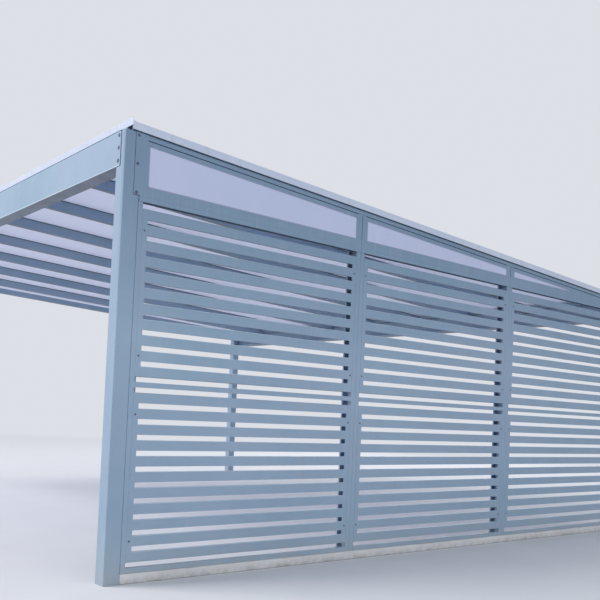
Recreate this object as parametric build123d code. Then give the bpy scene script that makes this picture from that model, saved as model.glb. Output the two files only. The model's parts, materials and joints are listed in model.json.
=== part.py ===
from build123d import *
import os

# Carport in millimetres, +Z up, origin on the ground in the middle of the footprint.
# The louvred wall is at +X, the entrance faces -Y, and the roof falls towards +Y.

# Plan sizes
width = 6600.0
corner_post = 100.0
corner_strip = 30.0
mid_post = 80.0
louvre_length = 1700.0
bays = 3

# Heights: the wall is stacked up from its kerb, and the post tops stand over its level rails
kerb_height = 60.0
beam_height = 200.0
post_rise = 390.0

# Roof: its underside lies roof_lift over the post tops
roof_lift = 37.0
roof_setback = 40.0
roof_overhang = 10.0
roof_thick = 16.0
roof_gap = 10.0
bar_fin = 6.0
bar_width = 60.0
bar_flange = 4.0
bar_height = 20.0
bar_foot = 36.0
bar_crown = 22.0
trim_drop = 46.0
trim_lap = 40.0
trim_under = 4.0
trim_fold = 2.0

# Sheet metal
sheet = 3.0
heavy_sheet = 4.0
post_radius = 5.0
fold_radius = 4.0

# Beams and rafters
beam_flange = 96.0
beam_lip = 20.0
beam_top_flange = 36.0
beam_lap = 50.0
beam_corner = 8.0
side_beam_height = 62.0
side_beam_width = 60.0
rafter_height = 80.0
rafter_width = 50.0
section_lip = 15.0
rafters = 7
first_rafter = 1050.0
last_rafter = 762.0

# Louvred wall
slat_height = 60.0
slot_height = 30.0
slats = 11
slot_margin = 35.0
slat_lip = 18.0
cassette_depth = 40.0
strip_height = 30.0
strip_depth = 30.0
open_gap = 30.0
top_gap = 36.0
mid_post_depth = 100.0
kerb_width = 120.0

# Sloping frames over the louvres
rail_height = 88.0
frame_lip = 24.0
frame_lap = 35.0
frame_stile = 54.0
frame_ear = 44.0
frame_tab = 34.0
window_margin = 12.0
infill_thick = 4.0
least_window = 12.0

# Clearances
joint_gap = 2.0
frame_gap = 6.0
side_clear = 1.0

# Derived places
half_width = width / 2
roof_edge = half_width + roof_overhang - sheet
mid_posts = bays - 1
depth = 2 * (corner_post + corner_strip) + bays * louvre_length + mid_posts * mid_post
cassette_height = slats * slat_height + (slats - 1) * slot_height
bottom_strip_z = kerb_height
lower_z = bottom_strip_z + strip_height + open_gap
middle_strip_z = lower_z + cassette_height + open_gap
upper_z = middle_strip_z + strip_height + open_gap
rail_z = upper_z + cassette_height + top_gap
post_top = rail_z + post_rise
rafter_spacing = (width - first_rafter - last_rafter) / (rafters - 1)

# The side beam's lower edge comes down to the top of the level rails at the rear post
fall = (post_rise + roof_lift - side_beam_height - rail_height) / (depth - corner_post)

# Length along the fall for each unit of depth
slant = (1 + fall**2) ** 0.5


# Height of the roof's underside at a distance back from the front face of the posts
def roof_z(d):
    return post_top + roof_lift - fall * d


def y_at(d):
    return d - depth / 2


# Distance back to the near edge of a bay's cassettes
def bay_start(i):
    return corner_post + corner_strip + i * (louvre_length + mid_post)


def block(x0, x1, d0, d1, z0, z1):
    return Pos(x0, y_at(d0), z0) * Box(x1 - x0, d1 - d0, z1 - z0, align=(Align.MIN, Align.MIN, Align.MIN))


# Plate with its outline in the side view, given as distance back and height
def side_plate(outline, x0, x1):
    points = [(y_at(d), z) for d, z in outline]
    face = Plane.YZ.offset(x0) * Polygon(*points, align=None)
    return extrude(face, x1 - x0, dir=(1, 0, 0))


# Straight-sided band that follows the roof's fall
def roof_band(x0, x1, d0, d1, over, thick):
    outline = [
        (d0, roof_z(d0) + over),
        (d1, roof_z(d1) + over),
        (d1, roof_z(d1) + over - thick),
        (d0, roof_z(d0) + over - thick),
    ]
    return side_plate(outline, x0, x1)


# Box section of one sheet with rounded folds
def box_section(across, high):
    inner = RectangleRounded(across - 2 * sheet, high - 2 * sheet, fold_radius - sheet + 1)
    return RectangleRounded(across, high, fold_radius) - inner


# Lipped channel, open towards +X of its own plane
def channel(across, high):
    mouth = Pos(across / 2, 0) * Rectangle(2 * sheet, high - 2 * section_lip)
    return box_section(across, high) - mouth


def mirrored(shape):
    return mirror(shape, about=Plane.YZ)


# Square tube with rounded edges, closed by a plate at its level top
def corner_tube(d0, high):
    outer = RectangleRounded(corner_post, corner_post, post_radius)
    bore = corner_post - 2 * heavy_sheet
    inner = RectangleRounded(bore, bore, post_radius - heavy_sheet + 1)
    tube = extrude(outer, high, dir=(0, 0, 1)) - extrude(inner, high - heavy_sheet, dir=(0, 0, 1))
    return Pos(half_width - corner_post / 2, y_at(d0 + corner_post / 2), 0) * tube


# One of the two channels of a mid post: web on the post's middle, top cut to the side beam
def post_channel(centre, towards, foot):
    half = mid_post / 2
    section = channel(half, mid_post_depth)
    turn = 90 if towards > 0 else -90
    middle = (half_width - mid_post_depth / 2, y_at(centre + towards * half / 2), foot)
    post = Pos(*middle) * extrude(Rot(0, 0, turn) * section, post_top, dir=(0, 0, 1))
    over = roof_band(0, width, centre - mid_post, centre + mid_post, post_top, post_top + side_beam_height)
    return post - over


def corner_angle(mirror_back):
    start = corner_post
    outer_leg = block(half_width - sheet, half_width, start, start + corner_strip, kerb_height, rail_z)
    back_leg = block(half_width - strip_depth, half_width, start, start + sheet, kerb_height, rail_z)
    angle = outer_leg + back_leg
    if mirror_back:
        angle = mirror(angle, about=Plane.XZ)
    return angle


# Folded sheet tray: level slots part its face into slats, each with its edges folded inwards
def cassette(i, z0):
    start = bay_start(i)
    end = start + louvre_length
    top = z0 + cassette_height
    back = half_width - cassette_depth
    tray = block(back, half_width, start, end, z0, top)
    long_edges = tray.edges().filter_by(Axis.Z).sort_by(Axis.X)[-2:]
    level_edges = tray.edges().filter_by(Axis.Y).sort_by(Axis.X)[-2:]
    tray = fillet(long_edges + level_edges, sheet)
    tray -= block(back, half_width - sheet, start + sheet, end - sheet, z0 + sheet, top - sheet)
    near = start + slot_margin
    far = end - slot_margin
    for k in range(1, slats):
        slot_z = z0 + k * (slat_height + slot_height) - slot_height
        slot_top = slot_z + slot_height
        tray += block(half_width - slat_lip, half_width - sheet, near, far, slot_z - sheet, slot_top + sheet)
        tray -= block(back, half_width, near, far, slot_z, slot_top)
    return tray


# Three level channels in a row, one a bay, open towards the inside
def strip_row(z0):
    row = []
    for i in range(bays):
        start = bay_start(i)
        end = start + louvre_length
        back = half_width - strip_depth
        bar = block(back, half_width, start, end, z0, z0 + strip_height)
        bar -= block(back, half_width - sheet, start, end, z0 + sheet, z0 + strip_height - sheet)
        row.append(bar)
    return Compound(children=row)


# Near and far end of a bay's sloping frame
def frame_ends(i):
    near = bay_start(i) - mid_post / 2 + joint_gap / 2
    far = bay_start(i) + louvre_length + mid_post / 2 - joint_gap / 2
    if i == 0:
        near = corner_post - frame_lap
    if i == bays - 1:
        far = depth - corner_post + frame_lap
    return near, far


# The opening of a sloping frame, closed off where it would get too low
def window_outline(i, grow):
    low = rail_z + rail_height
    near = bay_start(i) + window_margin
    far = bay_start(i) + louvre_length - window_margin
    if i == 0:
        near = corner_post + frame_stile
    lid = side_beam_height + frame_gap + frame_lip
    runout = (roof_z(0) - lid - low - least_window) / fall
    far = min(far, runout)
    near -= grow
    far += grow
    low -= grow
    return [
        (near, roof_z(near) - lid + grow),
        (far, roof_z(far) - lid + grow),
        (far, low),
        (near, low),
    ]


# Frame folded from one sheet: rail, stiles, sloping top, and a tab that laps a corner post
def sloping_frame(i):
    near, far = frame_ends(i)
    skin = half_width + sheet
    drop = side_beam_height + frame_gap
    outline = [(near, roof_z(near) - drop), (far, roof_z(far) - drop), (far, rail_z), (near, rail_z)]
    frame = side_plate(outline, half_width, skin)
    ear_top = trim_drop - roof_thick - joint_gap
    tab = corner_post + heavy_sheet
    if i == 0:
        ear_end = corner_post + frame_ear
        frame += roof_band(half_width, skin, near, ear_end, -ear_top, drop - ear_top)
        frame -= block(half_width, skin, near, tab, rail_z, rail_z + frame_tab)
    if i == bays - 1:
        ear_end = depth - corner_post - frame_ear
        frame += roof_band(half_width, skin, ear_end, far, -ear_top, drop - ear_top)
        frame -= block(half_width, skin, depth - tab, far, rail_z, rail_z + frame_tab)
    frame -= side_plate(window_outline(i, 0), half_width, skin)
    inner = bay_start(i) + side_clear
    outer = bay_start(i) + louvre_length - side_clear
    back = half_width - cassette_depth
    frame += block(back, skin, inner, outer, rail_z, rail_z + sheet)
    frame += roof_band(back, skin, inner, outer, -drop, sheet)
    return frame


def infill_panels():
    row = []
    for i in range(bays):
        grow = window_margin - side_clear
        row.append(side_plate(window_outline(i, grow), half_width - infill_thick, half_width))
    return Compound(children=row)


# Folded beam across the opening: its web laps the posts, its flanges fit between them
def cross_beam(top):
    low = top - beam_height
    front = -heavy_sheet
    inside = half_width - corner_post
    lapped = inside + beam_lap
    beam = block(-lapped, lapped, front, 0, low, top)
    beam = chamfer(beam.edges().filter_by(Axis.Y).group_by(Axis.Z)[0], beam_corner)
    beam += block(-inside, inside, front, beam_flange, low, low + heavy_sheet)
    beam += block(-inside, inside, beam_flange - heavy_sheet, beam_flange, low, low + beam_lip)
    beam += block(-inside, inside, front, beam_top_flange, top - heavy_sheet, top)
    return beam


# Box beam that follows the roof along one side and bears on the corner posts' tops
def side_beam():
    section = box_section(side_beam_width, side_beam_height)
    middle = Plane.XZ.offset(-y_at(roof_setback))
    x_mid = half_width - side_beam_width / 2
    z_mid = roof_z(roof_setback) - side_beam_height / 2
    face = middle * Pos(x_mid, z_mid) * section
    run = depth - 2 * roof_setback
    beam = extrude(face, run * slant, dir=(0, 1, -fall))
    beam -= block(0, width, 0, corner_post, 0, post_top)
    beam -= block(0, width, depth - corner_post, depth, 0, roof_z(depth) - roof_lift)
    return beam


# Profile in the front view, drawn from the roof's underside, carried along the fall
def roof_profile(section, d0, d1):
    face = Plane.XZ.offset(-y_at(d0)) * Pos(0, roof_z(d0)) * section
    return extrude(face, (d1 - d0) * slant, dir=(0, 1, -fall))


def rafter_middle(i):
    return half_width - first_rafter - i * rafter_spacing - rafter_width / 2


# Lipped channel from beam to beam, notched under the beams' top flanges
def rafter(i):
    section = Rot(0, 0, 180) * channel(rafter_width, rafter_height)
    bar = roof_profile(Pos(rafter_middle(i), -rafter_height / 2) * section, 0, depth)
    notch_end = beam_top_flange + heavy_sheet
    notch_low = post_top - heavy_sheet
    rear_low = roof_z(depth) - roof_lift - heavy_sheet
    bar -= block(-width, width, 0, notch_end, notch_low, post_top + width)
    bar -= block(-width, width, depth - notch_end, depth, rear_low, post_top + width)
    return bar


# Flat sheets side by side, parted by a gap over each rafter
def roof_sheets():
    near = roof_setback
    far = depth - near
    sheets = roof_band(-roof_edge, roof_edge, near, far, roof_thick, roof_thick)
    for i in range(rafters):
        x0 = rafter_middle(i) - roof_gap / 2
        sheets -= roof_band(x0, x0 + roof_gap, 0, depth, roof_thick + joint_gap, roof_thick + 2 * joint_gap)
    return sheets


# Capping bars over the gaps: a fin down to the rafter, flanges on the sheets and a tapered crown
def glazing_bars():
    foot = bar_foot / 2
    crown = bar_crown / 2
    cap = Polygon((-foot, 0), (foot, 0), (crown, bar_height), (-crown, bar_height), align=None)
    bars = []
    for i in range(rafters):
        section = Pos(0, roof_thick / 2) * Rectangle(bar_fin, roof_thick)
        section += Pos(0, roof_thick + bar_flange / 2) * Rectangle(bar_width, bar_flange)
        section += Pos(0, roof_thick) * cap
        bars.append(roof_profile(Pos(rafter_middle(i), 0) * section, roof_setback, depth - roof_setback))
    return Compound(children=bars)


# Side trim: an upright face over the sheet's edge, folded onto its top
def side_trim():
    corner = Pos(roof_edge + sheet, roof_thick + sheet)
    section = corner * Rectangle(trim_lap + sheet, trim_drop, align=(Align.MAX, Align.MAX))
    section = fillet(section.vertices().sort_by(Axis.X)[-2:].sort_by(Axis.Y)[-1], fold_radius)
    section -= Pos(roof_edge, roof_thick) * Rectangle(trim_lap, trim_drop, align=(Align.MAX, Align.MAX))
    return roof_profile(section, roof_setback, depth - roof_setback)


# Front or rear trim: an upright face that closes the roof's end, folded onto the bars. Its flange
# stops at the side trims, where a small return closes it down to the sheets
def end_trim(edge, inward):
    out = edge - inward * sheet
    lap = edge + inward * trim_lap
    top = roof_thick + bar_height + sheet
    face = [
        (out, roof_z(out) + top),
        (edge, roof_z(edge) + top),
        (edge, roof_z(edge) - trim_under),
        (out, roof_z(out) - trim_under),
    ]
    flange = [
        (out, roof_z(out) + top),
        (lap, roof_z(lap) + top),
        (lap, roof_z(lap) + top - sheet),
        (out, roof_z(out) + top - sheet),
    ]
    end = flange[:2] + [(lap, roof_z(lap) + roof_thick), (out, roof_z(out) + roof_thick)]
    flange_end = roof_edge - trim_lap - joint_gap
    trim = side_plate(face, -roof_edge - sheet, roof_edge + sheet)
    trim += side_plate(flange, -flange_end, flange_end)
    end_return = side_plate(end, flange_end - sheet, flange_end)
    trim += end_return
    trim += mirrored(end_return)
    outer = trim.edges().filter_by(Axis.X).group_by(Axis.Y)[0 if inward > 0 else -1]
    return fillet(outer.sort_by(Axis.Z)[-1], trim_fold)


nodes = {}

rear_post_top = roof_z(depth) - roof_lift
nodes["front_right_post"] = corner_tube(0, post_top)
nodes["rear_right_post"] = corner_tube(depth - corner_post, rear_post_top)
nodes["front_left_post"] = mirrored(nodes["front_right_post"])
nodes["rear_left_post"] = mirrored(nodes["rear_right_post"])

for i in range(1, bays):
    centre = bay_start(i) - mid_post / 2
    nodes[f"right_mid_post_{i}_front_channel"] = post_channel(centre, -1, kerb_height)
    nodes[f"right_mid_post_{i}_rear_channel"] = post_channel(centre, 1, kerb_height)
left_centre = bay_start(mid_posts) - mid_post / 2
nodes["left_mid_post_front_channel"] = mirrored(post_channel(left_centre, -1, 0))
nodes["left_mid_post_rear_channel"] = mirrored(post_channel(left_centre, 1, 0))

kerb = block(half_width - kerb_width, half_width, corner_post, depth - corner_post, 0, kerb_height)
nodes["kerb"] = kerb
nodes["front_corner_strip"] = corner_angle(False)
nodes["rear_corner_strip"] = corner_angle(True)

for i in range(bays):
    nodes[f"lower_louvre_{i + 1}"] = cassette(i, lower_z)
    nodes[f"upper_louvre_{i + 1}"] = cassette(i, upper_z)
    nodes[f"sloping_frame_{i + 1}"] = sloping_frame(i)
nodes["bottom_strips"] = strip_row(bottom_strip_z)
nodes["middle_strips"] = strip_row(middle_strip_z)
nodes["infill_panels"] = infill_panels()

front_beam = cross_beam(post_top)
rear_beam = mirror(cross_beam(rear_post_top), about=Plane.XZ)
nodes["front_beam"] = front_beam
nodes["rear_beam"] = rear_beam
nodes["right_side_beam"] = side_beam()
nodes["left_side_beam"] = mirrored(nodes["right_side_beam"])
for i in range(rafters):
    nodes[f"rafter_{i + 1}"] = rafter(i)
nodes["roof_sheets"] = roof_sheets()
nodes["glazing_bars"] = glazing_bars()
nodes["right_roof_trim"] = side_trim()
nodes["left_roof_trim"] = mirrored(nodes["right_roof_trim"])
nodes["front_roof_trim"] = end_trim(roof_setback, 1)
nodes["rear_roof_trim"] = end_trim(depth - roof_setback, -1)

os.makedirs("parts", exist_ok=True)
for name, shape in nodes.items():
    export_step(shape, f"parts/{name}.step")
    print(name, round(shape.volume / 1e6, 2), "litres")
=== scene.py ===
import json
import math
import bpy
import bmesh
from mathutils import Euler, Matrix, Vector, noise


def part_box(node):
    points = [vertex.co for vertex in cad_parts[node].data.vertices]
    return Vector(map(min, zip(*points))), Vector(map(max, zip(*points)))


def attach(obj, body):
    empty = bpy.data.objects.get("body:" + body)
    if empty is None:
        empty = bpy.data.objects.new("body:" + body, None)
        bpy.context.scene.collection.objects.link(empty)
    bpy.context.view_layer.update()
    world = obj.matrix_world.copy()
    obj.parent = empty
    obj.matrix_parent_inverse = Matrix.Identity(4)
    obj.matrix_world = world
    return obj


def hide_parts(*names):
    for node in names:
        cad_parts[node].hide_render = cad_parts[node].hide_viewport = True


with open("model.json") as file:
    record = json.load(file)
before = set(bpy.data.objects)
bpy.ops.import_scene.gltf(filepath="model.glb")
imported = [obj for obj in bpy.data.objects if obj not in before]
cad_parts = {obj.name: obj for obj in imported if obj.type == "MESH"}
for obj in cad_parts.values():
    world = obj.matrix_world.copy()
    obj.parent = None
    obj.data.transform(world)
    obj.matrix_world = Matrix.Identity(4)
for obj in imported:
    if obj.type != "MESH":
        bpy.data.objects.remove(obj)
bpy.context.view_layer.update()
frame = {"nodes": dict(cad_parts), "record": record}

nodes = frame["nodes"]
print("frame loaded:", len(nodes), "nodes")


# Shader helpers

screenCurve = {"knee": 0.04045, "slope": 12.92, "lift": 0.055, "power": 2.4}


def paintTone(red, green, blue):
    # screen colour, 0 to 255, as the linear colour that a shader wants
    lift = screenCurve["lift"]
    parts = []
    for value in (red, green, blue):
        share = value / 255
        if share <= screenCurve["knee"]:
            parts.append(share / screenCurve["slope"])
        else:
            parts.append(((share + lift) / (1 + lift)) ** screenCurve["power"])
    return (*parts, 1.0)


class Wire:
    # a socket that can be added, multiplied and so on; each step adds a Math node
    def __init__(self, tree, socket):
        self.tree = tree
        self.socket = socket

    def step(self, operation, *values):
        sockets = {place: value for place, value in enumerate(values)}
        return self.tree.node("ShaderNodeMath", {"operation": operation}, sockets).out(0)

    def __add__(self, other):
        return self.step("ADD", self, other)

    def __radd__(self, other):
        return self.step("ADD", other, self)

    def __sub__(self, other):
        return self.step("SUBTRACT", self, other)

    def __rsub__(self, other):
        return self.step("SUBTRACT", other, self)

    def __mul__(self, other):
        return self.step("MULTIPLY", self, other)

    def __rmul__(self, other):
        return self.step("MULTIPLY", other, self)

    def __pow__(self, other):
        return self.step("POWER", self, other)

    def __rpow__(self, other):
        return self.step("POWER", other, self)

    def __mod__(self, other):
        return self.step("MODULO", self, other)

    def __rmod__(self, other):
        return self.step("MODULO", other, self)

    def __abs__(self):
        return self.step("ABSOLUTE", self)

    def clamp(self):
        return self.step("MINIMUM", self.step("MAXIMUM", self, 0.0), 1.0)

    def between(self, low, high):
        # 0 at low, 1 at high, and straight in between
        return ((self - low) * (1.0 / (high - low))).clamp()


class Placed:
    # one added node, read through its outputs
    def __init__(self, tree, made):
        self.tree = tree
        self.made = made

    def out(self, place):
        return Wire(self.tree, self.made.outputs[place])


class Tree:
    # the nodes of a material or of the world
    def __init__(self, owner):
        owner.use_nodes = True
        self.nodeTree = owner.node_tree
        self.nodeTree.nodes.clear()

    def node(self, kind, settings, sockets):
        made = self.nodeTree.nodes.new(kind)
        for key, value in settings.items():
            setattr(made, key, value)
        for key, value in sockets.items():
            self.feed(made.inputs[key], value)
        return Placed(self, made)

    def feed(self, socket, value):
        if isinstance(value, Wire):
            self.nodeTree.links.new(value.socket, socket)
        else:
            socket.default_value = value

    def seenRays(self):
        # 1 for what the camera sees, also in a reflection or through a clear thing
        rays = self.node("ShaderNodeLightPath", {}, {})
        kinds = ("Is Camera Ray", "Is Glossy Ray", "Is Transmission Ray")
        camera, glossy, through = (rays.out(kind) for kind in kinds)
        return (camera + glossy + through).clamp()


# In the looks below, a noise is scale, detail and roughness, a pattern is a noise and the two levels
# it is cut between, and a bump is its distance and strength

coatRoughness = 0.25


class Finish(Tree):
    # a material with one Principled shader, in Object coordinates
    def __init__(self, name, look):
        self.material = bpy.data.materials.new(name)
        super().__init__(self.material)
        fixed = {
            "Roughness": look["roughness"],
            "Metallic": look.get("metallic", 0.0),
            "Coat Weight": look.get("coat", 0.0),
            "Coat Roughness": coatRoughness,
            "Specular IOR Level": look.get("sheen", 0.5),
        }
        self.shader = self.node("ShaderNodeBsdfPrincipled", {}, fixed)
        self.end = self.node("ShaderNodeOutputMaterial", {}, {"Surface": self.shader.out(0)})
        self.place = self.node("ShaderNodeTexCoord", {}, {}).out("Object")
        self.x, self.y, self.z = self.parts(self.place)

    def parts(self, vector):
        split = self.node("ShaderNodeSeparateXYZ", {}, {0: vector})
        return split.out(0), split.out(1), split.out(2)

    def underside(self, low, high):
        # 1 where the surface faces down
        facing = self.node("ShaderNodeNewGeometry", {}, {}).out("Normal")
        return (0.0 - self.parts(facing)[2]).between(low, high)

    def set(self, name, value):
        self.feed(self.shader.made.inputs[name], value)

    def stretched(self, across, along, up):
        sockets = {"Vector": self.place, "Scale": (across, along, up)}
        return self.node("ShaderNodeMapping", {}, sockets).out(0)

    def cloud(self, scale, detail, rough, vector=None):
        spot = vector or self.place
        sockets = {"Vector": spot, "Scale": scale, "Detail": detail, "Roughness": rough}
        return self.node("ShaderNodeTexNoise", {}, sockets).out("Fac")

    def mask(self, pattern, vector=None):
        *spread, low, high = pattern
        return self.cloud(*spread, vector).between(low, high)

    def cells(self, scale):
        sockets = {"Vector": self.place, "Scale": scale}
        return self.node("ShaderNodeTexVoronoi", {"feature": "F1"}, sockets).out("Distance")

    def tint(self, share, base, tone):
        # a share of another tone laid over the base
        settings = {"data_type": "RGBA", "clamp_factor": True}
        return self.node("ShaderNodeMix", settings, {0: share, 6: base, 7: tone}).out(2)

    def bump(self, height, distance, strength, onto=None):
        sockets = {"Height": height, "Distance": distance, "Strength": strength}
        if onto:
            sockets["Normal"] = onto
        return self.node("ShaderNodeBump", {}, sockets).out(0)

    def mixIn(self, share, kind, tone):
        # a share of another shader in the place of the plain one
        other = self.node(kind, {}, {"Color": tone})
        sockets = {0: share, 1: self.shader.out(0), 2: other.out(0)}
        mixed = self.node("ShaderNodeMixShader", {}, sockets)
        self.feed(self.end.made.inputs["Surface"], mixed.out(0))


# Finishes

framePaintLook = {
    "tone": paintTone(154, 178, 200),
    "shade": paintTone(136, 163, 187),
    "lilac": paintTone(163, 176, 202),
    "dust": paintTone(178, 177, 175),
    "grimeAndShade": paintTone(74, 78, 100),
    "eavesShade": paintTone(92, 120, 150),
    "roughness": 0.42,
    "coat": 0.08,
    "clouds": (1.1, 4.0, 0.5, 0.34, 0.66),
    "cloudShare": 0.7,
    "patches": (7.0, 3.0, 0.5, 0.3, 0.7),
    "patchShare": 0.3,
    "patchRough": 0.06,
    "drift": (0.6, 2.0, 0.5, 0.4, 0.62),
    "lilacShare": 0.4,
    "eavesHeight": (1.45, 2.4),
    "eavesDepth": (3.262, 3.296),
    "eavesShare": 0.55,
    "runs": (1.0, 4.0, 0.6, 0.54, 0.76),
    "runStretch": (38, 38, 1.4),
    "runShare": 0.42,
    "runRough": 0.08,
    "splash": (14.0, 5.0, 0.65, 0.3, 0.75),
    "footHeight": 0.45,
    "footCurve": 2.0,
    "footShare": 0.6,
    "footLeast": 0.3,
    "footRough": 0.3,
    "specks": (90.0, 3.0, 0.6, 0.68, 0.76),
    "speckShare": 0.3,
    "underFacing": (0.7, 0.95),
    "underShare": 0.8,
    "underEven": 0.8,
    "waves": (3.2, 2.0, 0.5),
    "waveBump": (0.0009, 0.5),
    "peel": (420.0, 2.0, 0.5),
    "peelBump": (0.00012, 0.35),
}
# paler tones for the painted highlights along folded edges
hemHighlightTones = {"tone": paintTone(206, 226, 236), "shade": paintTone(196, 218, 230), "underShare": 0.1}
slatHemHighlightTones = {"tone": paintTone(196, 212, 228), "shade": paintTone(184, 202, 220)}


def makeFramePaint(name, look):
    # satin powder coat on folded steel: faintly mottled, with rain streaks and dust low down; painted shade
    # darkens its undersides and the wall's outer face towards the roof's edge
    paint = Finish(name, look)
    clouds = paint.mask(look["clouds"])
    patches = paint.mask(look["patches"])
    mottle = clouds * look["cloudShare"] + patches * look["patchShare"]
    tone = paint.tint(mottle, look["tone"], look["shade"])
    tone = paint.tint(paint.mask(look["drift"]) * look["lilacShare"], tone, look["lilac"])
    # painted shade: the wall's outer face grows darker towards the roof's edge
    eavesShade = paint.z.between(*look["eavesHeight"]) * paint.x.between(*look["eavesDepth"])
    tone = paint.tint(eavesShade * look["eavesShare"], tone, look["eavesShade"])
    runs = paint.mask(look["runs"], paint.stretched(*look["runStretch"]))
    tone = paint.tint(runs * look["runShare"] * patches, tone, look["dust"])
    splash = paint.mask(look["splash"])
    foot = (1.0 - paint.z.between(0.0, look["footHeight"])) ** look["footCurve"]
    dirt = (foot * look["footShare"] * (look["footLeast"] + splash)).clamp()
    tone = paint.tint(dirt, tone, look["dust"])
    specks = paint.mask(look["specks"]) * patches
    tone = paint.tint(specks * look["speckShare"], tone, look["shade"])
    # painted shade: faces that turn down are laid over with a dark tone, as if in shadow
    even = look["underEven"]
    under = paint.underside(*look["underFacing"]) * look["underShare"] * (even + patches * (1 - even))
    paint.set("Base Color", paint.tint(under, tone, look["grimeAndShade"]))
    rougher = patches * look["patchRough"] + runs * look["runRough"] + dirt * look["footRough"]
    paint.set("Roughness", (look["roughness"] + rougher).clamp())
    peel = paint.bump(paint.cloud(*look["peel"]), *look["peelBump"])
    paint.set("Normal", paint.bump(paint.cloud(*look["waves"]), *look["waveBump"], peel))
    return paint.material


trimPaintLook = {
    "tone": paintTone(207, 214, 233),
    "shade": paintTone(192, 202, 225),
    "dust": paintTone(160, 164, 168),
    "roughness": 0.4,
    "coat": 0.1,
    "clouds": (1.6, 4.0, 0.5, 0.35, 0.68),
    "cloudShare": 0.6,
    "specks": (60.0, 4.0, 0.7, 0.6, 0.75),
    "speckShare": 0.25,
    "runs": (1.0, 4.0, 0.6, 0.55, 0.78),
    "runStretch": (22, 22, 6),
    "runShare": 0.3,
    "grimeRough": 0.3,
    "peel": (380.0, 2.0, 0.5),
    "peelBump": (0.0001, 0.35),
}
beadTones = {"tone": paintTone(160, 165, 190), "shade": paintTone(150, 157, 184)}


def makeTrimPaint(name, look):
    # pale powder coat with a little dust and a few rain streaks
    paint = Finish(name, look)
    clouds = paint.mask(look["clouds"])
    tone = paint.tint(clouds * look["cloudShare"], look["tone"], look["shade"])
    specks = paint.mask(look["specks"])
    runs = paint.mask(look["runs"], paint.stretched(*look["runStretch"]))
    grimeAndShade = (specks * look["speckShare"] + runs * look["runShare"]).clamp()
    paint.set("Base Color", paint.tint(grimeAndShade, tone, look["dust"]))
    paint.set("Roughness", (look["roughness"] + grimeAndShade * look["grimeRough"]).clamp())
    paint.set("Normal", paint.bump(paint.cloud(*look["peel"]), *look["peelBump"]))
    return paint.material


roofOpalLook = {
    "tone": paintTone(232, 232, 242),
    "shade": paintTone(220, 221, 234),
    "grimeAndShade": paintTone(188, 188, 194),
    "throughTone": (0.79, 0.82, 0.93, 1.0),
    "through": 0.58,
    "throughGrime": 0.1,
    "roughness": 0.38,
    "coat": 0.1,
    "flute": 0.016,
    "walls": (0.82, 1.0),
    "wallShare": 0.3,
    "wallBump": (0.0002, 0.5),
    "clouds": (1.3, 4.0, 0.5, 0.32, 0.68),
    "cloudShare": 0.5,
    "bands": (1.0, 2.0, 0.5, 0.4, 0.6),
    "bandStretch": (5.0, 5.0, 0.3),
    "bandShare": 0.3,
    "specks": (9.0, 5.0, 0.65, 0.58, 0.8),
    "speckShare": 0.22,
    "speckRough": 0.25,
}
infillOpalTones = {
    "tone": paintTone(200, 206, 235),
    "shade": paintTone(192, 201, 232),
    "grimeAndShade": paintTone(188, 190, 208),
    "through": 0.0,
    "roughness": 0.36,
}


def makeSheetFinish(name, look, along):
    # opal hollow sheet: the walls of its flutes show as faint lines along its length
    opal = Finish(name, look)
    across = opal.x if along == "y" else opal.y
    flutes = abs((across * (1.0 / look["flute"])) % 1.0)
    walls = abs(flutes * 2.0 - 1.0).between(*look["walls"])
    clouds = opal.mask(look["clouds"])
    bands = opal.mask(look["bands"], opal.stretched(*look["bandStretch"]))
    mottle = clouds * look["cloudShare"] + bands * look["bandShare"]
    tone = opal.tint(mottle, look["tone"], look["shade"])
    tone = opal.tint(walls * look["wallShare"], tone, look["shade"])
    specks = opal.mask(look["specks"])
    opal.set("Base Color", opal.tint(specks * look["speckShare"], tone, look["grimeAndShade"]))
    opal.set("Roughness", (look["roughness"] + specks * look["speckRough"]).clamp())
    opal.set("Normal", opal.bump(walls, *look["wallBump"]))
    if look["through"]:
        # part of the light that falls on the far side comes through softly
        share = look["through"] - specks * look["throughGrime"]
        opal.mixIn(share, "ShaderNodeBsdfTranslucent", look["throughTone"])
    return opal.material


concreteLook = {
    "tone": paintTone(230, 227, 227),
    "light": paintTone(243, 240, 240),
    "damp": paintTone(172, 169, 167),
    "moss": paintTone(140, 145, 126),
    "roughness": 0.88,
    "sheen": 0.3,
    "clouds": (3.5, 5.0, 0.6, 0.3, 0.7),
    "cloudShare": 0.35,
    "grains": (220.0, 4.0, 0.7),
    "grainLevels": (0.35, 0.65),
    "grainShare": 0.3,
    "grainBump": (0.0015, 0.7),
    "dampPatches": (26.0, 4.0, 0.5, 0.35, 0.62),
    "dampHeight": 0.05,
    "dampShare": 0.5,
    "mossPatches": (8.0, 5.0, 0.7, 0.5, 0.68),
    "mossHeight": 0.03,
    "mossShare": 0.6,
    "pits": 95.0,
    "pitLevels": (0.0, 0.28),
    "pitBump": (0.0015, 0.5),
}


def makeConcrete(look):
    # rough pale concrete, damp and a little mossy at its foot
    stone = Finish("kerbConcrete", look)
    grains = stone.cloud(*look["grains"])
    tone = stone.tint(stone.mask(look["clouds"]) * look["cloudShare"], look["tone"], look["damp"])
    tone = stone.tint(grains.between(*look["grainLevels"]) * look["grainShare"], tone, look["light"])
    foot = (1.0 - stone.z.between(0.0, look["dampHeight"])) * stone.mask(look["dampPatches"])
    tone = stone.tint((foot * look["dampShare"]).clamp(), tone, look["damp"])
    moss = (1.0 - stone.z.between(0.0, look["mossHeight"])) * stone.mask(look["mossPatches"])
    stone.set("Base Color", stone.tint((moss * look["mossShare"]).clamp(), tone, look["moss"]))
    pits = 1.0 - stone.cells(look["pits"]).between(*look["pitLevels"])
    stone.set("Normal", stone.bump(grains, *look["grainBump"], stone.bump(pits, *look["pitBump"])))
    return stone.material


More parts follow.
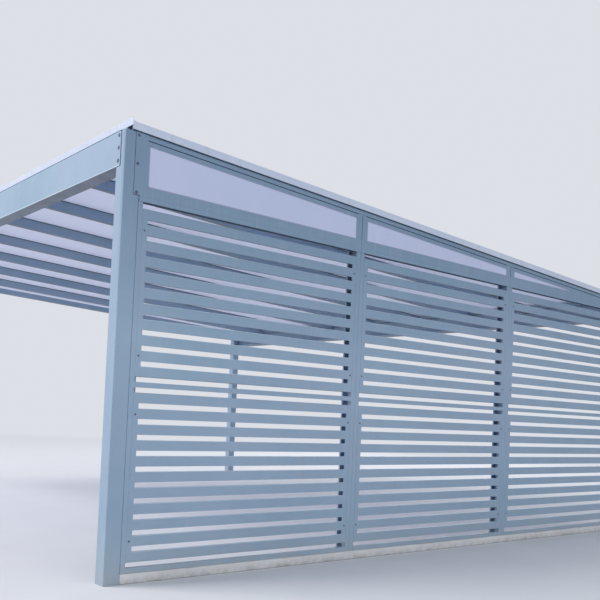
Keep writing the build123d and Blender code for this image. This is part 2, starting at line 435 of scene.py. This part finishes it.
zincLook = {
    "tone": paintTone(104, 114, 130),
    "worn": paintTone(70, 78, 92),
    "roughness": 0.42,
    "metallic": 0.5,
    "clouds": (45.0, 4.0, 0.5, 0.35, 0.65),
    "cloudShare": 0.7,
    "cloudRough": 0.2,
    "cells": 260.0,
    "cellShare": 0.3,
    "peel": (500.0, 3.0, 0.5),
    "peelBump": (0.0001, 0.4),
}


def makeZinc(look):
    # plated bolts, mottled grey
    zinc = Finish("boltZinc", look)
    clouds = zinc.mask(look["clouds"])
    share = (clouds * look["cloudShare"] + zinc.cells(look["cells"]) * look["cellShare"]).clamp()
    zinc.set("Base Color", zinc.tint(share, look["tone"], look["worn"]))
    zinc.set("Roughness", (look["roughness"] + clouds * look["cloudRough"]).clamp())
    zinc.set("Normal", zinc.bump(zinc.cloud(*look["peel"]), *look["peelBump"]))
    return zinc.material


jointLook = {
    "tone": paintTone(60, 77, 97),
    "dust": paintTone(92, 104, 120),
    "roughness": 0.75,
    "sheen": 0.2,
    "specks": (30.0, 4.0, 0.6, 0.45, 0.7),
    "dustShare": 0.5,
    "dustRough": 0.15,
    "grain": (300.0, 3.0, 0.5),
    "grainBump": (0.0002, 0.4),
}


def makeJointFinish(look):
    # dark sealer in the seams, with dust in it; the same dark finish also paints shadow lines in gaps, in
    # grooves and under edges
    joint = Finish("jointSealerAndShadow", look)
    dust = joint.mask(look["specks"])
    joint.set("Base Color", joint.tint(dust * look["dustShare"], look["tone"], look["dust"]))
    joint.set("Roughness", (look["roughness"] + dust * look["dustRough"]).clamp())
    joint.set("Normal", joint.bump(joint.cloud(*look["grain"]), *look["grainBump"]))
    return joint.material


framePaint = makeFramePaint("framePaint", framePaintLook)
hemHighlightPaint = makeFramePaint("hemHighlightPaint", framePaintLook | hemHighlightTones)
slatHemHighlightPaint = makeFramePaint("slatHemHighlightPaint", framePaintLook | slatHemHighlightTones)
trimPaint = makeTrimPaint("trimPaint", trimPaintLook)
beadPaint = makeTrimPaint("beadPaint", trimPaintLook | beadTones)
roofOpal = makeSheetFinish("roofOpal", roofOpalLook, "y")
infillOpal = makeSheetFinish("infillOpal", roofOpalLook | infillOpalTones, "z")
kerbConcrete = makeConcrete(concreteLook)
boltZinc = makeZinc(zincLook)
jointSealerAndShadow = makeJointFinish(jointLook)
print("finishes made")

finishOfSlot = {
    "frame_paint": framePaint,
    "trim_paint": trimPaint,
    "white_panel": infillOpal,
    "roof_sheet": roofOpal,
    "concrete": kerbConcrete,
}
for row in frame["record"]["subparts"]:
    for slot in nodes[row["node"]].material_slots:
        slot.material = finishOfSlot[row["material_slot"]]
print("nodes painted")


# Modelling helpers

weldLimit = 0.00001


def finishPiece(name, bm, material, smooth=None):
    bmesh.ops.remove_doubles(bm, verts=bm.verts, dist=weldLimit)
    bmesh.ops.recalc_face_normals(bm, faces=bm.faces)
    mesh = bpy.data.meshes.new(name)
    bm.to_mesh(mesh)
    bm.free()
    mesh.materials.append(material)
    if smooth:
        mesh.shade_smooth()
        mesh.set_sharp_from_angle(angle=math.radians(smooth))
    piece = bpy.data.objects.new(name, mesh)
    bpy.context.scene.collection.objects.link(piece)
    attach(piece, "root")
    print(name, "has", len(mesh.polygons), "faces")
    return piece


def bar(bm, first, second, soften=0.0, fall=0.0):
    # straight-sided bar between two corners, with softened edges; it may fall along y
    size = [abs(b - a) for a, b in zip(first, second)]
    middle = [(a + b) / 2 for a, b in zip(first, second)]
    lean = Matrix.Identity(4)
    lean[2][1] = -fall
    place = Matrix.Translation(middle) @ lean @ Matrix.Diagonal((*size, 1.0))
    made = bmesh.ops.create_cube(bm, size=1.0, matrix=place)
    if soften:
        edges = list(dict.fromkeys(edge for corner in made["verts"] for edge in corner.link_edges))
        bmesh.ops.bevel(bm, geom=edges, offset=soften, affect="EDGES", segments=2, profile=0.5, material=-1)


# Places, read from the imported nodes

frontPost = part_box("front_right_post")
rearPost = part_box("rear_right_post")
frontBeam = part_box("front_beam")
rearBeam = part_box("rear_beam")
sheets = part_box("roof_sheets")
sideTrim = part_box("right_roof_trim")
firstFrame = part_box("sloping_frame_1")
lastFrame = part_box("sloping_frame_3")
wallFace = frontPost[1].x
frameFace = firstFrame[1].x
beamEnd = frontBeam[1].x
beamFaces = ((frontBeam[0].y, frontBeam), (rearBeam[1].y, rearBeam))
postFaces = ((frontPost[0].y, frontBeam), (rearPost[1].y, rearBeam))
sheetThick = 0.016
roofFall = (sheets[1].z - sheets[0].z - sheetThick) / (sheets[1].y - sheets[0].y)
bays = (1, 2, 3)
levels = ("lower", "upper")
rafterNumbers = range(1, 8)
midPostNumbers = (1, 2)


def roofUnder(y):
    # height of the roof's underside
    return sheets[1].z - sheetThick - roofFall * (y - sheets[0].y)


# Bolts and screws

fixingLook = {"washerSides": 16, "washerTaper": 0.94, "headTaper": 0.86, "smooth": 35}
boltLook = {"head": 0.0068, "tall": 0.0016, "washer": 0.0092, "washerTall": 0.0010, "sides": 12}
beamBoltLook = {"head": 0.0085, "tall": 0.0016, "washer": 0.0120, "washerTall": 0.0010, "sides": 6}
screwLook = {"head": 0.0046, "tall": 0.0016, "washer": 0.0062, "washerTall": 0.0006, "sides": 6}
boltPlaces = {
    "beamDrops": (0.022, 0.094, 0.169),
    "beamInset": 0.021,
    "frontSpin": 9,
    "rearSpin": 7,
    "tabInset": 0.082,
    "tabHeights": (2.539, 2.376, 2.212),
    "rearTabHeights": (2.236, 2.204),
    "screwEdge": 0.0175,
    "screwLow": 0.119,
    "screwHigh": 0.124,
}


def addFixing(bm, spot, facing, look, spin=0.0):
    # washer and head, drawn along z and turned to face its own way
    turn = Vector((0, 0, 1)).rotation_difference(Vector(facing)).to_matrix().to_4x4()
    place = Matrix.Translation(spot) @ turn @ Matrix.Rotation(spin, 4, "Z")
    rounds = (
        ("washer", "washerTall", fixingLook["washerSides"], fixingLook["washerTaper"]),
        ("head", "tall", look["sides"], fixingLook["headTaper"]),
    )
    base = 0.0
    for wide, tall, sides, taper in rounds:
        middle = Matrix.Translation((0, 0, base + look[tall] / 2))
        bmesh.ops.create_cone(
            bm, cap_ends=True, segments=sides, radius1=look[wide], radius2=look[wide] * taper,
            depth=look[tall], matrix=place @ middle)
        base += look[tall]


def makeBeamBolts():
    bolts = bmesh.new()
    for side in (-1, 1):
        x = side * (beamEnd - boltPlaces["beamInset"])
        for drop in boltPlaces["beamDrops"]:
            front = (x, frontBeam[0].y, frontBeam[1].z - drop)
            rear = (x, rearBeam[1].y, rearBeam[1].z - drop)
            addFixing(bolts, front, (0, -1, 0), beamBoltLook, drop * boltPlaces["frontSpin"])
            addFixing(bolts, rear, (0, 1, 0), beamBoltLook, drop * boltPlaces["rearSpin"])
    finishPiece("beam_bolts", bolts, boltZinc, smooth=fixingLook["smooth"])


def makeTabBolts():
    bolts = bmesh.new()
    inset = boltPlaces["tabInset"]
    rows = (
        (frontPost[0].y + inset, boltPlaces["tabHeights"]),
        (rearPost[1].y - inset, boltPlaces["rearTabHeights"]),
    )
    for y, heights in rows:
        for height in heights:
            addFixing(bolts, (frameFace, y, height), (1, 0, 0), boltLook)
    finishPiece("tab_bolts", bolts, boltZinc, smooth=fixingLook["smooth"])


def makeCassetteScrews():
    screws = bmesh.new()
    edge = boltPlaces["screwEdge"]
    for bay in bays:
        for level in levels:
            low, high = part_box(f"{level}_louvre_{bay}")
            for y in (low.y + edge, high.y - edge):
                for z in (low.z + boltPlaces["screwLow"], high.z - boltPlaces["screwHigh"]):
                    addFixing(screws, (wallFace, y, z), (1, 0, 0), screwLook, y + z)
    finishPiece("cassette_screws", screws, boltZinc, smooth=fixingLook["smooth"])


barScrewLook = {"spacing": 0.45, "start": 0.13, "crown": 0.036}


def makeBarScrews():
    # the capping bars are screwed down along their crowns
    screws = bmesh.new()
    start, spacing = barScrewLook["start"], barScrewLook["spacing"]
    runs = int((sheets[1].y - sheets[0].y - 2 * start) / spacing)
    for number in rafterNumbers:
        low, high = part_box(f"rafter_{number}")
        middle = (low.x + high.x) / 2
        for turn in range(runs + 1):
            y = sheets[0].y + start + turn * spacing
            spot = (middle, y, roofUnder(y) + barScrewLook["crown"])
            addFixing(screws, spot, (0, roofFall, 1), screwLook, turn)
    finishPiece("bar_screws", screws, boltZinc, smooth=fixingLook["smooth"])


makeBeamBolts()
makeTabBolts()
makeCassetteScrews()
makeBarScrews()


# Windows over the louvres: the near and far edge of each, its sill and the drop of its top

windowLook = {
    "stile": 0.054,
    "margin": 0.012,
    "sill": 0.088,
    "lid": 0.092,
    "leastHigh": 0.012,
    "bead": 0.0055,
    "beadDeep": 0.0022,
    "beadBack": 0.0004,
    "soften": 0.0006,
}
sillHeight = firstFrame[0].z + windowLook["sill"]


def windowEnds(bay):
    low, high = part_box(f"upper_louvre_{bay}")
    near = low.y + windowLook["margin"]
    if bay == 1:
        near = frontPost[1].y + windowLook["stile"]
    lowest = sillHeight + windowLook["lid"] + windowLook["leastHigh"]
    runOut = sheets[0].y + (roofUnder(sheets[0].y) - lowest) / roofFall
    return near, min(high.y - windowLook["margin"], runOut)


def makeWindowBeads():
    # thin bead that holds each infill sheet, along all four edges of its window
    beads = bmesh.new()
    wide, soften = windowLook["bead"], windowLook["soften"]
    back = wallFace - windowLook["beadBack"]
    face = wallFace + windowLook["beadDeep"]
    for bay in bays:
        near, far = windowEnds(bay)
        bar(beads, (back, near, sillHeight), (face, far, sillHeight + wide), soften)
        middle = roofUnder((near + far) / 2) - windowLook["lid"]
        bar(beads, (back, near, middle - wide), (face, far, middle), soften, roofFall)
        for start in (near, far - wide):
            top = roofUnder(start + wide) - windowLook["lid"]
            bar(beads, (back, start, sillHeight), (face, start + wide, top), soften)
    finishPiece("window_beads", beads, beadPaint)


creaseLook = {
    "height": 0.030,
    "wide": 0.0028,
    "proud": 0.0006,
    "back": 0.001,
    "inset": 0.012,
    "soften": 0.0005,
}


def makeRailCreases():
    # the level rails carry a shallow fold in their lower third
    creases = bmesh.new()
    back = frameFace - creaseLook["back"]
    face = frameFace + creaseLook["proud"]
    z = firstFrame[0].z + creaseLook["height"]
    for bay in bays:
        low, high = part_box(f"upper_louvre_{bay}")
        start, end = low.y + creaseLook["inset"], high.y - creaseLook["inset"]
        bar(creases, (back, start, z), (face, end, z + creaseLook["wide"]), creaseLook["soften"])
    finishPiece("rail_creases", creases, framePaint)


makeWindowBeads()
makeRailCreases()


# Seams: dark sealer where plates lap, and the gasket under the side trim; these dark strips also paint
# shadow lines in gaps, in grooves and under edges

seamLook = {
    "beam": 0.0042,
    "tab": 0.0016,
    "tabFoot": 0.0036,
    "tabLow": 0.034,
    "tabLong": 0.039,
    "post": 0.0026,
    "frames": 0.0046,
    "proud": 0.0004,
    "strip": 0.004,
    "stripDeep": 0.008,
    "railStrip": 0.0065,
    "railNear": 0.002,
    "railDeep": 0.012,
    "postBack": 0.005,
    "framesBack": 0.002,
    "framesDrop": 0.068,
    "gasketShadowDrop": 0.027,
    "gasketShadowLow": 0.006,
    "gasketShadowHigh": 0.010,
    "gasketShadowProud": 0.0062,
    "gasketShadowInset": 0.004,
}


def addBeamSeams(seams, proud):
    # a dark strip on each post face beside the beam's end: the lap's joint line, dark also as its painted
    # shadow
    for side in (-1, 1):
        edge = side * beamEnd
        out = edge + side * seamLook["beam"]
        for face, beam in postFaces:
            way = math.copysign(proud, face)
            bar(seams, (edge, face - way, beam[0].z), (out, face + way, beam[1].z))
    # a thin dark strip on the top edge of each beam is a painted shadow line under the roof's edge
    for face, beam in beamFaces:
        inner = face - math.copysign(seamLook["stripDeep"], face)
        first = (-beamEnd, face, beam[1].z - proud)
        bar(seams, first, (beamEnd, inner, beam[1].z + seamLook["strip"]))


def addTabSeams(seams, proud):
    # dark strips beside each tab's edge and under its foot are painted shadow lines along the tab
    back, face = wallFace - proud, wallFace + proud
    tabLow = firstFrame[0].z + seamLook["tabLow"]
    tabs = ((firstFrame[0].y, -1, frontPost[1].z), (lastFrame[1].y, 1, rearPost[1].z))
    for tab, way, top in tabs:
        far = tab + way * seamLook["tab"]
        inner = tab - way * seamLook["tabLong"]
        bar(seams, (back, tab, tabLow), (face, far, top))
        bar(seams, (back, far, tabLow - seamLook["tabFoot"]), (face, inner, tabLow))


def addMidPostSeams(seams, proud):
    # dark strips in the groove between two channels, and in the gap between two sloping frames over it, are
    # painted shade in these recesses
    for number in midPostNumbers:
        low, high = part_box(f"right_mid_post_{number}_front_channel")
        wide = seamLook["post"] / 2
        groove = wallFace - seamLook["postBack"]
        face = wallFace - seamLook["post"]
        bar(seams, (groove, high.y - wide, low.z), (face, high.y + wide, firstFrame[0].z))
        wide = seamLook["frames"] / 2
        top = roofUnder(high.y) - seamLook["framesDrop"]
        back = frameFace - seamLook["framesBack"]
        bar(seams, (back, high.y - wide, sillHeight), (frameFace + proud, high.y + wide, top))


def addRailStrips(seams):
    # dark strip under the level rails, over the louvres' first slot: a painted shadow of the rail
    back, face = wallFace - seamLook["railDeep"], wallFace - seamLook["railNear"]
    top = firstFrame[0].z
    for bay in bays:
        low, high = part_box(f"upper_louvre_{bay}")
        bar(seams, (back, low.y, top - seamLook["railStrip"]), (face, high.y, top))


def addTrimGasketShadows(seams, proud):
    # a dark gasket strip under each side trim, which also paints the shadow under the trim's lower edge
    middle = (sideTrim[0].y + sideTrim[1].y) / 2
    drop = roofUnder(middle) - seamLook["gasketShadowDrop"]
    inset = seamLook["gasketShadowInset"]
    low = (wallFace - proud, sideTrim[0].y + inset, drop - seamLook["gasketShadowLow"])
    high = (wallFace + seamLook["gasketShadowProud"], sideTrim[1].y - inset, drop + seamLook["gasketShadowHigh"])
    for side in (-1, 1):
        bar(seams, (side * low[0], *low[1:]), (side * high[0], *high[1:]), 0.0, roofFall)


def makeSeams():
    seams = bmesh.new()
    proud = seamLook["proud"]
    addBeamSeams(seams, proud)
    addTabSeams(seams, proud)
    addMidPostSeams(seams, proud)
    addRailStrips(seams)
    addTrimGasketShadows(seams, proud)
    finishPiece("joint_seams_and_shadow_lines", seams, jointSealerAndShadow)


gasketShadowLook = {"deep": 0.005, "inset": 0.03, "above": 0.0002}


def makeRafterGasketShadows():
    # a dark gasket lies between each rafter and the sheets, and stands out a little on both sides; its dark
    # also paints the shade line along that joint
    gasketShadows = bmesh.new()
    deep = gasketShadowLook["deep"]
    near = sheets[0].y + gasketShadowLook["inset"]
    far = sheets[1].y - gasketShadowLook["inset"]
    top = roofUnder((near + far) / 2) + gasketShadowLook["above"]
    for number in rafterNumbers:
        low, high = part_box(f"rafter_{number}")
        first = (low.x - deep / 2, near, top - deep)
        bar(gasketShadows, first, (high.x + deep / 2, far, top), 0.0, roofFall)
    finishPiece("rafter_gasket_shadows", gasketShadows, jointSealerAndShadow)


hemLook = {"tall": 0.0055, "proud": 0.0004, "back": 0.0012, "soften": 0.0004, "corner": 0.008}


def makeBeamHems():
    # a paler strip on the folded lower edge of each beam is a painted highlight
    hems = bmesh.new()
    end = beamEnd - hemLook["corner"]
    for face, beam in beamFaces:
        low = (-end, face - math.copysign(hemLook["back"], face), beam[0].z)
        high = (end, face + math.copysign(hemLook["proud"], face), beam[0].z + hemLook["tall"])
        bar(hems, low, high, hemLook["soften"])
    finishPiece("beam_hem_highlights", hems, hemHighlightPaint)


slatHemLook = {
    "tall": 0.0034,
    "proud": 0.0004,
    "back": 0.0022,
    "above": 0.0001,
    "soften": 0.0004,
    "edge": 0.01,
    "flat": 0.0002,
    "digits": 4,
}


def slotEdges(name):
    # lower edges of a tray's slots and their two ends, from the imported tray's outer face
    low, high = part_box(name)
    edge, flat = slatHemLook["edge"], slatHemLook["flat"]
    face = [corner.co for corner in nodes[name].data.vertices if abs(corner.co.x - wallFace) < flat]
    inside = [spot.z for spot in face if low.z + edge < spot.z < high.z - edge]
    heights = sorted({round(z, slatHemLook["digits"]) for z in inside})
    ends = [spot.y for spot in face if low.y + edge < spot.y < high.y - edge]
    return heights[::2], min(ends), max(ends)


def makeSlatHems():
    # a paler strip on the folded upper edge of each slat is a painted highlight
    hems = bmesh.new()
    back = wallFace - slatHemLook["back"]
    face = wallFace + slatHemLook["proud"]
    for bay in bays:
        for level in levels:
            edges, near, far = slotEdges(f"{level}_louvre_{bay}")
            for z in edges:
                top = z + slatHemLook["above"]
                first = (back, near, top - slatHemLook["tall"])
                bar(hems, first, (face, far, top), slatHemLook["soften"])
    finishPiece("slat_hem_highlights", hems, slatHemHighlightPaint)


closureLook = {"back": 0.037, "thick": 0.003, "sink": 0.0004}


def makeEndClosures():
    # a strip on the top flange of each beam closes the gap up to the end trim
    closures = bmesh.new()
    for (face, beam), trim in zip(beamFaces, ("front_roof_trim", "rear_roof_trim")):
        near = face - math.copysign(closureLook["back"], face)
        far = near - math.copysign(closureLook["thick"], face)
        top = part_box(trim)[0].z
        bar(closures, (-beamEnd, near, beam[1].z - closureLook["sink"]), (beamEnd, far, top))
    finishPiece("end_closures", closures, framePaint)


makeSeams()
makeRafterGasketShadows()
makeBeamHems()
makeSlatHems()
makeEndClosures()


# Kerb: cast concrete with worn, chipped edges, in the place of the plain one

kerbLook = {
    "soften": 0.007,
    "cuts": 300,
    "longEdge": 1.0,
    "wear": 0.0014,
    "wearScale": 24.0,
    "chips": 0.003,
    "chipLevel": 0.22,
    "chipScale": 9.0,
    "chipDepth": 0.010,
    "chipZone": 1.2,
    "endZone": 0.004,
    "heart": 0.03,
    "foot": 0.0005,
    "smooth": 50,
}


def makeKerb():
    low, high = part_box("kerb")
    kerb = bmesh.new()
    bar(kerb, low, high, kerbLook["soften"])
    longest = [
        edge for edge in kerb.edges
        if abs(edge.verts[0].co.y - edge.verts[1].co.y) > kerbLook["longEdge"]
    ]
    bmesh.ops.subdivide_edges(kerb, edges=longest, cuts=kerbLook["cuts"], use_grid_fill=True)
    middle = (low + high) / 2
    chipFrom = high.z - kerbLook["soften"] * kerbLook["chipZone"]
    for corner in kerb.verts:
        spot = corner.co.copy()
        if min(spot.y - low.y, high.y - spot.y) < kerbLook["endZone"]:
            continue
        inward = Vector((middle.x - spot.x, 0.0, kerbLook["heart"] - spot.z)).normalized()
        worn = kerbLook["wear"] * (0.5 + 0.5 * noise.noise(spot * kerbLook["wearScale"]))
        if spot.z > chipFrom and spot.x > middle.x:
            chip = noise.noise(spot * kerbLook["chipScale"]) - kerbLook["chipLevel"]
            worn += min(max(0.0, chip) * kerbLook["chipDepth"], kerbLook["chips"])
        corner.co += inward * worn
        # the foot stays flat and level
        corner.co.z = max(corner.co.z, low.z) if spot.z > low.z + kerbLook["foot"] else low.z
    piece = finishPiece("worn_kerb", kerb, kerbConcrete, smooth=kerbLook["smooth"])
    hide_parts("kerb")


makeKerb()


# Stage, light and camera

skyLook = {
    "tone": (0.83, 0.90, 1.0, 1.0),
    "strength": 0.63,
    "seen": (0.72, 0.74, 0.79, 1.0),
    "seenStrength": 1.0,
}
floorLook = {
    "size": 60.0,
    "roughness": 0.9,
    "sheen": 0.1,
    "grain": (2.0, 3.0, 0.5),
    "seen": paintTone(222, 222, 225),
    "seenShade": paintTone(216, 216, 220),
    "bounce": paintTone(202, 202, 198),
    "fade": (8.0, 21.0),
}


def makeFloor():
    # wide pale floor that keeps the shadow; the light it throws back is that of a darker one
    bm = bmesh.new()
    bmesh.ops.create_grid(bm, x_segments=1, y_segments=1, size=floorLook["size"])
    floorMesh = bpy.data.meshes.new("floor")
    bm.to_mesh(floorMesh)
    bm.free()
    floor = bpy.data.objects.new("floor", floorMesh)
    bpy.context.scene.collection.objects.link(floor)
    cover = Finish("floorFinish", floorLook)
    seen = cover.seenRays()
    pale = cover.tint(cover.cloud(*floorLook["grain"]), floorLook["seen"], floorLook["seenShade"])
    cover.set("Base Color", cover.tint(seen, floorLook["bounce"], pale))
    # far out it takes the backdrop's own tone, so that no horizon shows
    distance = (cover.x * cover.x + cover.y * cover.y) ** 0.5
    far = distance.between(*floorLook["fade"])
    cover.mixIn(far * seen, "ShaderNodeEmission", skyLook["seen"])
    floorMesh.materials.append(cover.material)


def makeSky():
    # soft light from all round; what the camera sees of it is a plain pale backdrop
    world = bpy.data.worlds.new("studio")
    bpy.context.scene.world = world
    sky = Tree(world)
    soft = {"Color": skyLook["tone"], "Strength": skyLook["strength"]}
    pale = {"Color": skyLook["seen"], "Strength": skyLook["seenStrength"]}
    softSide, paleSide = (sky.node("ShaderNodeBackground", {}, side).out(0) for side in (soft, pale))
    mixed = sky.node("ShaderNodeMixShader", {}, {0: sky.seenRays(), 1: softSide, 2: paleSide})
    sky.node("ShaderNodeOutputWorld", {}, {"Surface": mixed.out(0)})


lamps = {
    "key": {"place": (-8.0, -20.8, 17.6), "size": 14.4, "power": 5700.0, "tone": (1.0, 0.98, 0.97)},
    "fill": {"place": (12.5, -2.5, 3.6), "size": 6.0, "power": 185.0, "tone": (0.90, 0.96, 1.0)},
    "back": {"place": (-8.0, 13.0, 7.0), "size": 9.0, "power": 600.0, "tone": (0.97, 0.98, 1.0)},
}
lampAim = Vector((0, 0, 1.4))


def makeLamps():
    for name, look in lamps.items():
        light = bpy.data.lights.new(name, "AREA")
        light.shape = "SQUARE"
        light.size = look["size"]
        light.energy = look["power"]
        light.color = look["tone"]
        lamp = bpy.data.objects.new(name, light)
        lamp.location = look["place"]
        aim = lampAim - Vector(look["place"])
        lamp.rotation_euler = aim.to_track_quat("-Z", "Y").to_euler()
        lamp.visible_camera = False
        bpy.context.scene.collection.objects.link(lamp)


cameraLook = {
    "place": (7.3714, -4.8427, 0.9778),
    "turn": (91.967, -2.479, 49.707),
    "lens": 48.18,
    "sensor": 36.0,
    "shiftY": 0.15,
    "clipEnd": 300.0,
}


def makeCamera():
    data = bpy.data.cameras.new("camera")
    data.sensor_width = cameraLook["sensor"]
    data.lens = cameraLook["lens"]
    data.shift_y = cameraLook["shiftY"]
    data.clip_end = cameraLook["clipEnd"]
    camera = bpy.data.objects.new("camera", data)
    camera.location = cameraLook["place"]
    camera.rotation_euler = Euler([math.radians(angle) for angle in cameraLook["turn"]])
    bpy.context.scene.collection.objects.link(camera)
    bpy.context.scene.camera = camera


makeFloor()
makeSky()
makeLamps()
makeCamera()
bpy.context.scene.view_settings.view_transform = "Standard"
print("stage, lamps and camera set")
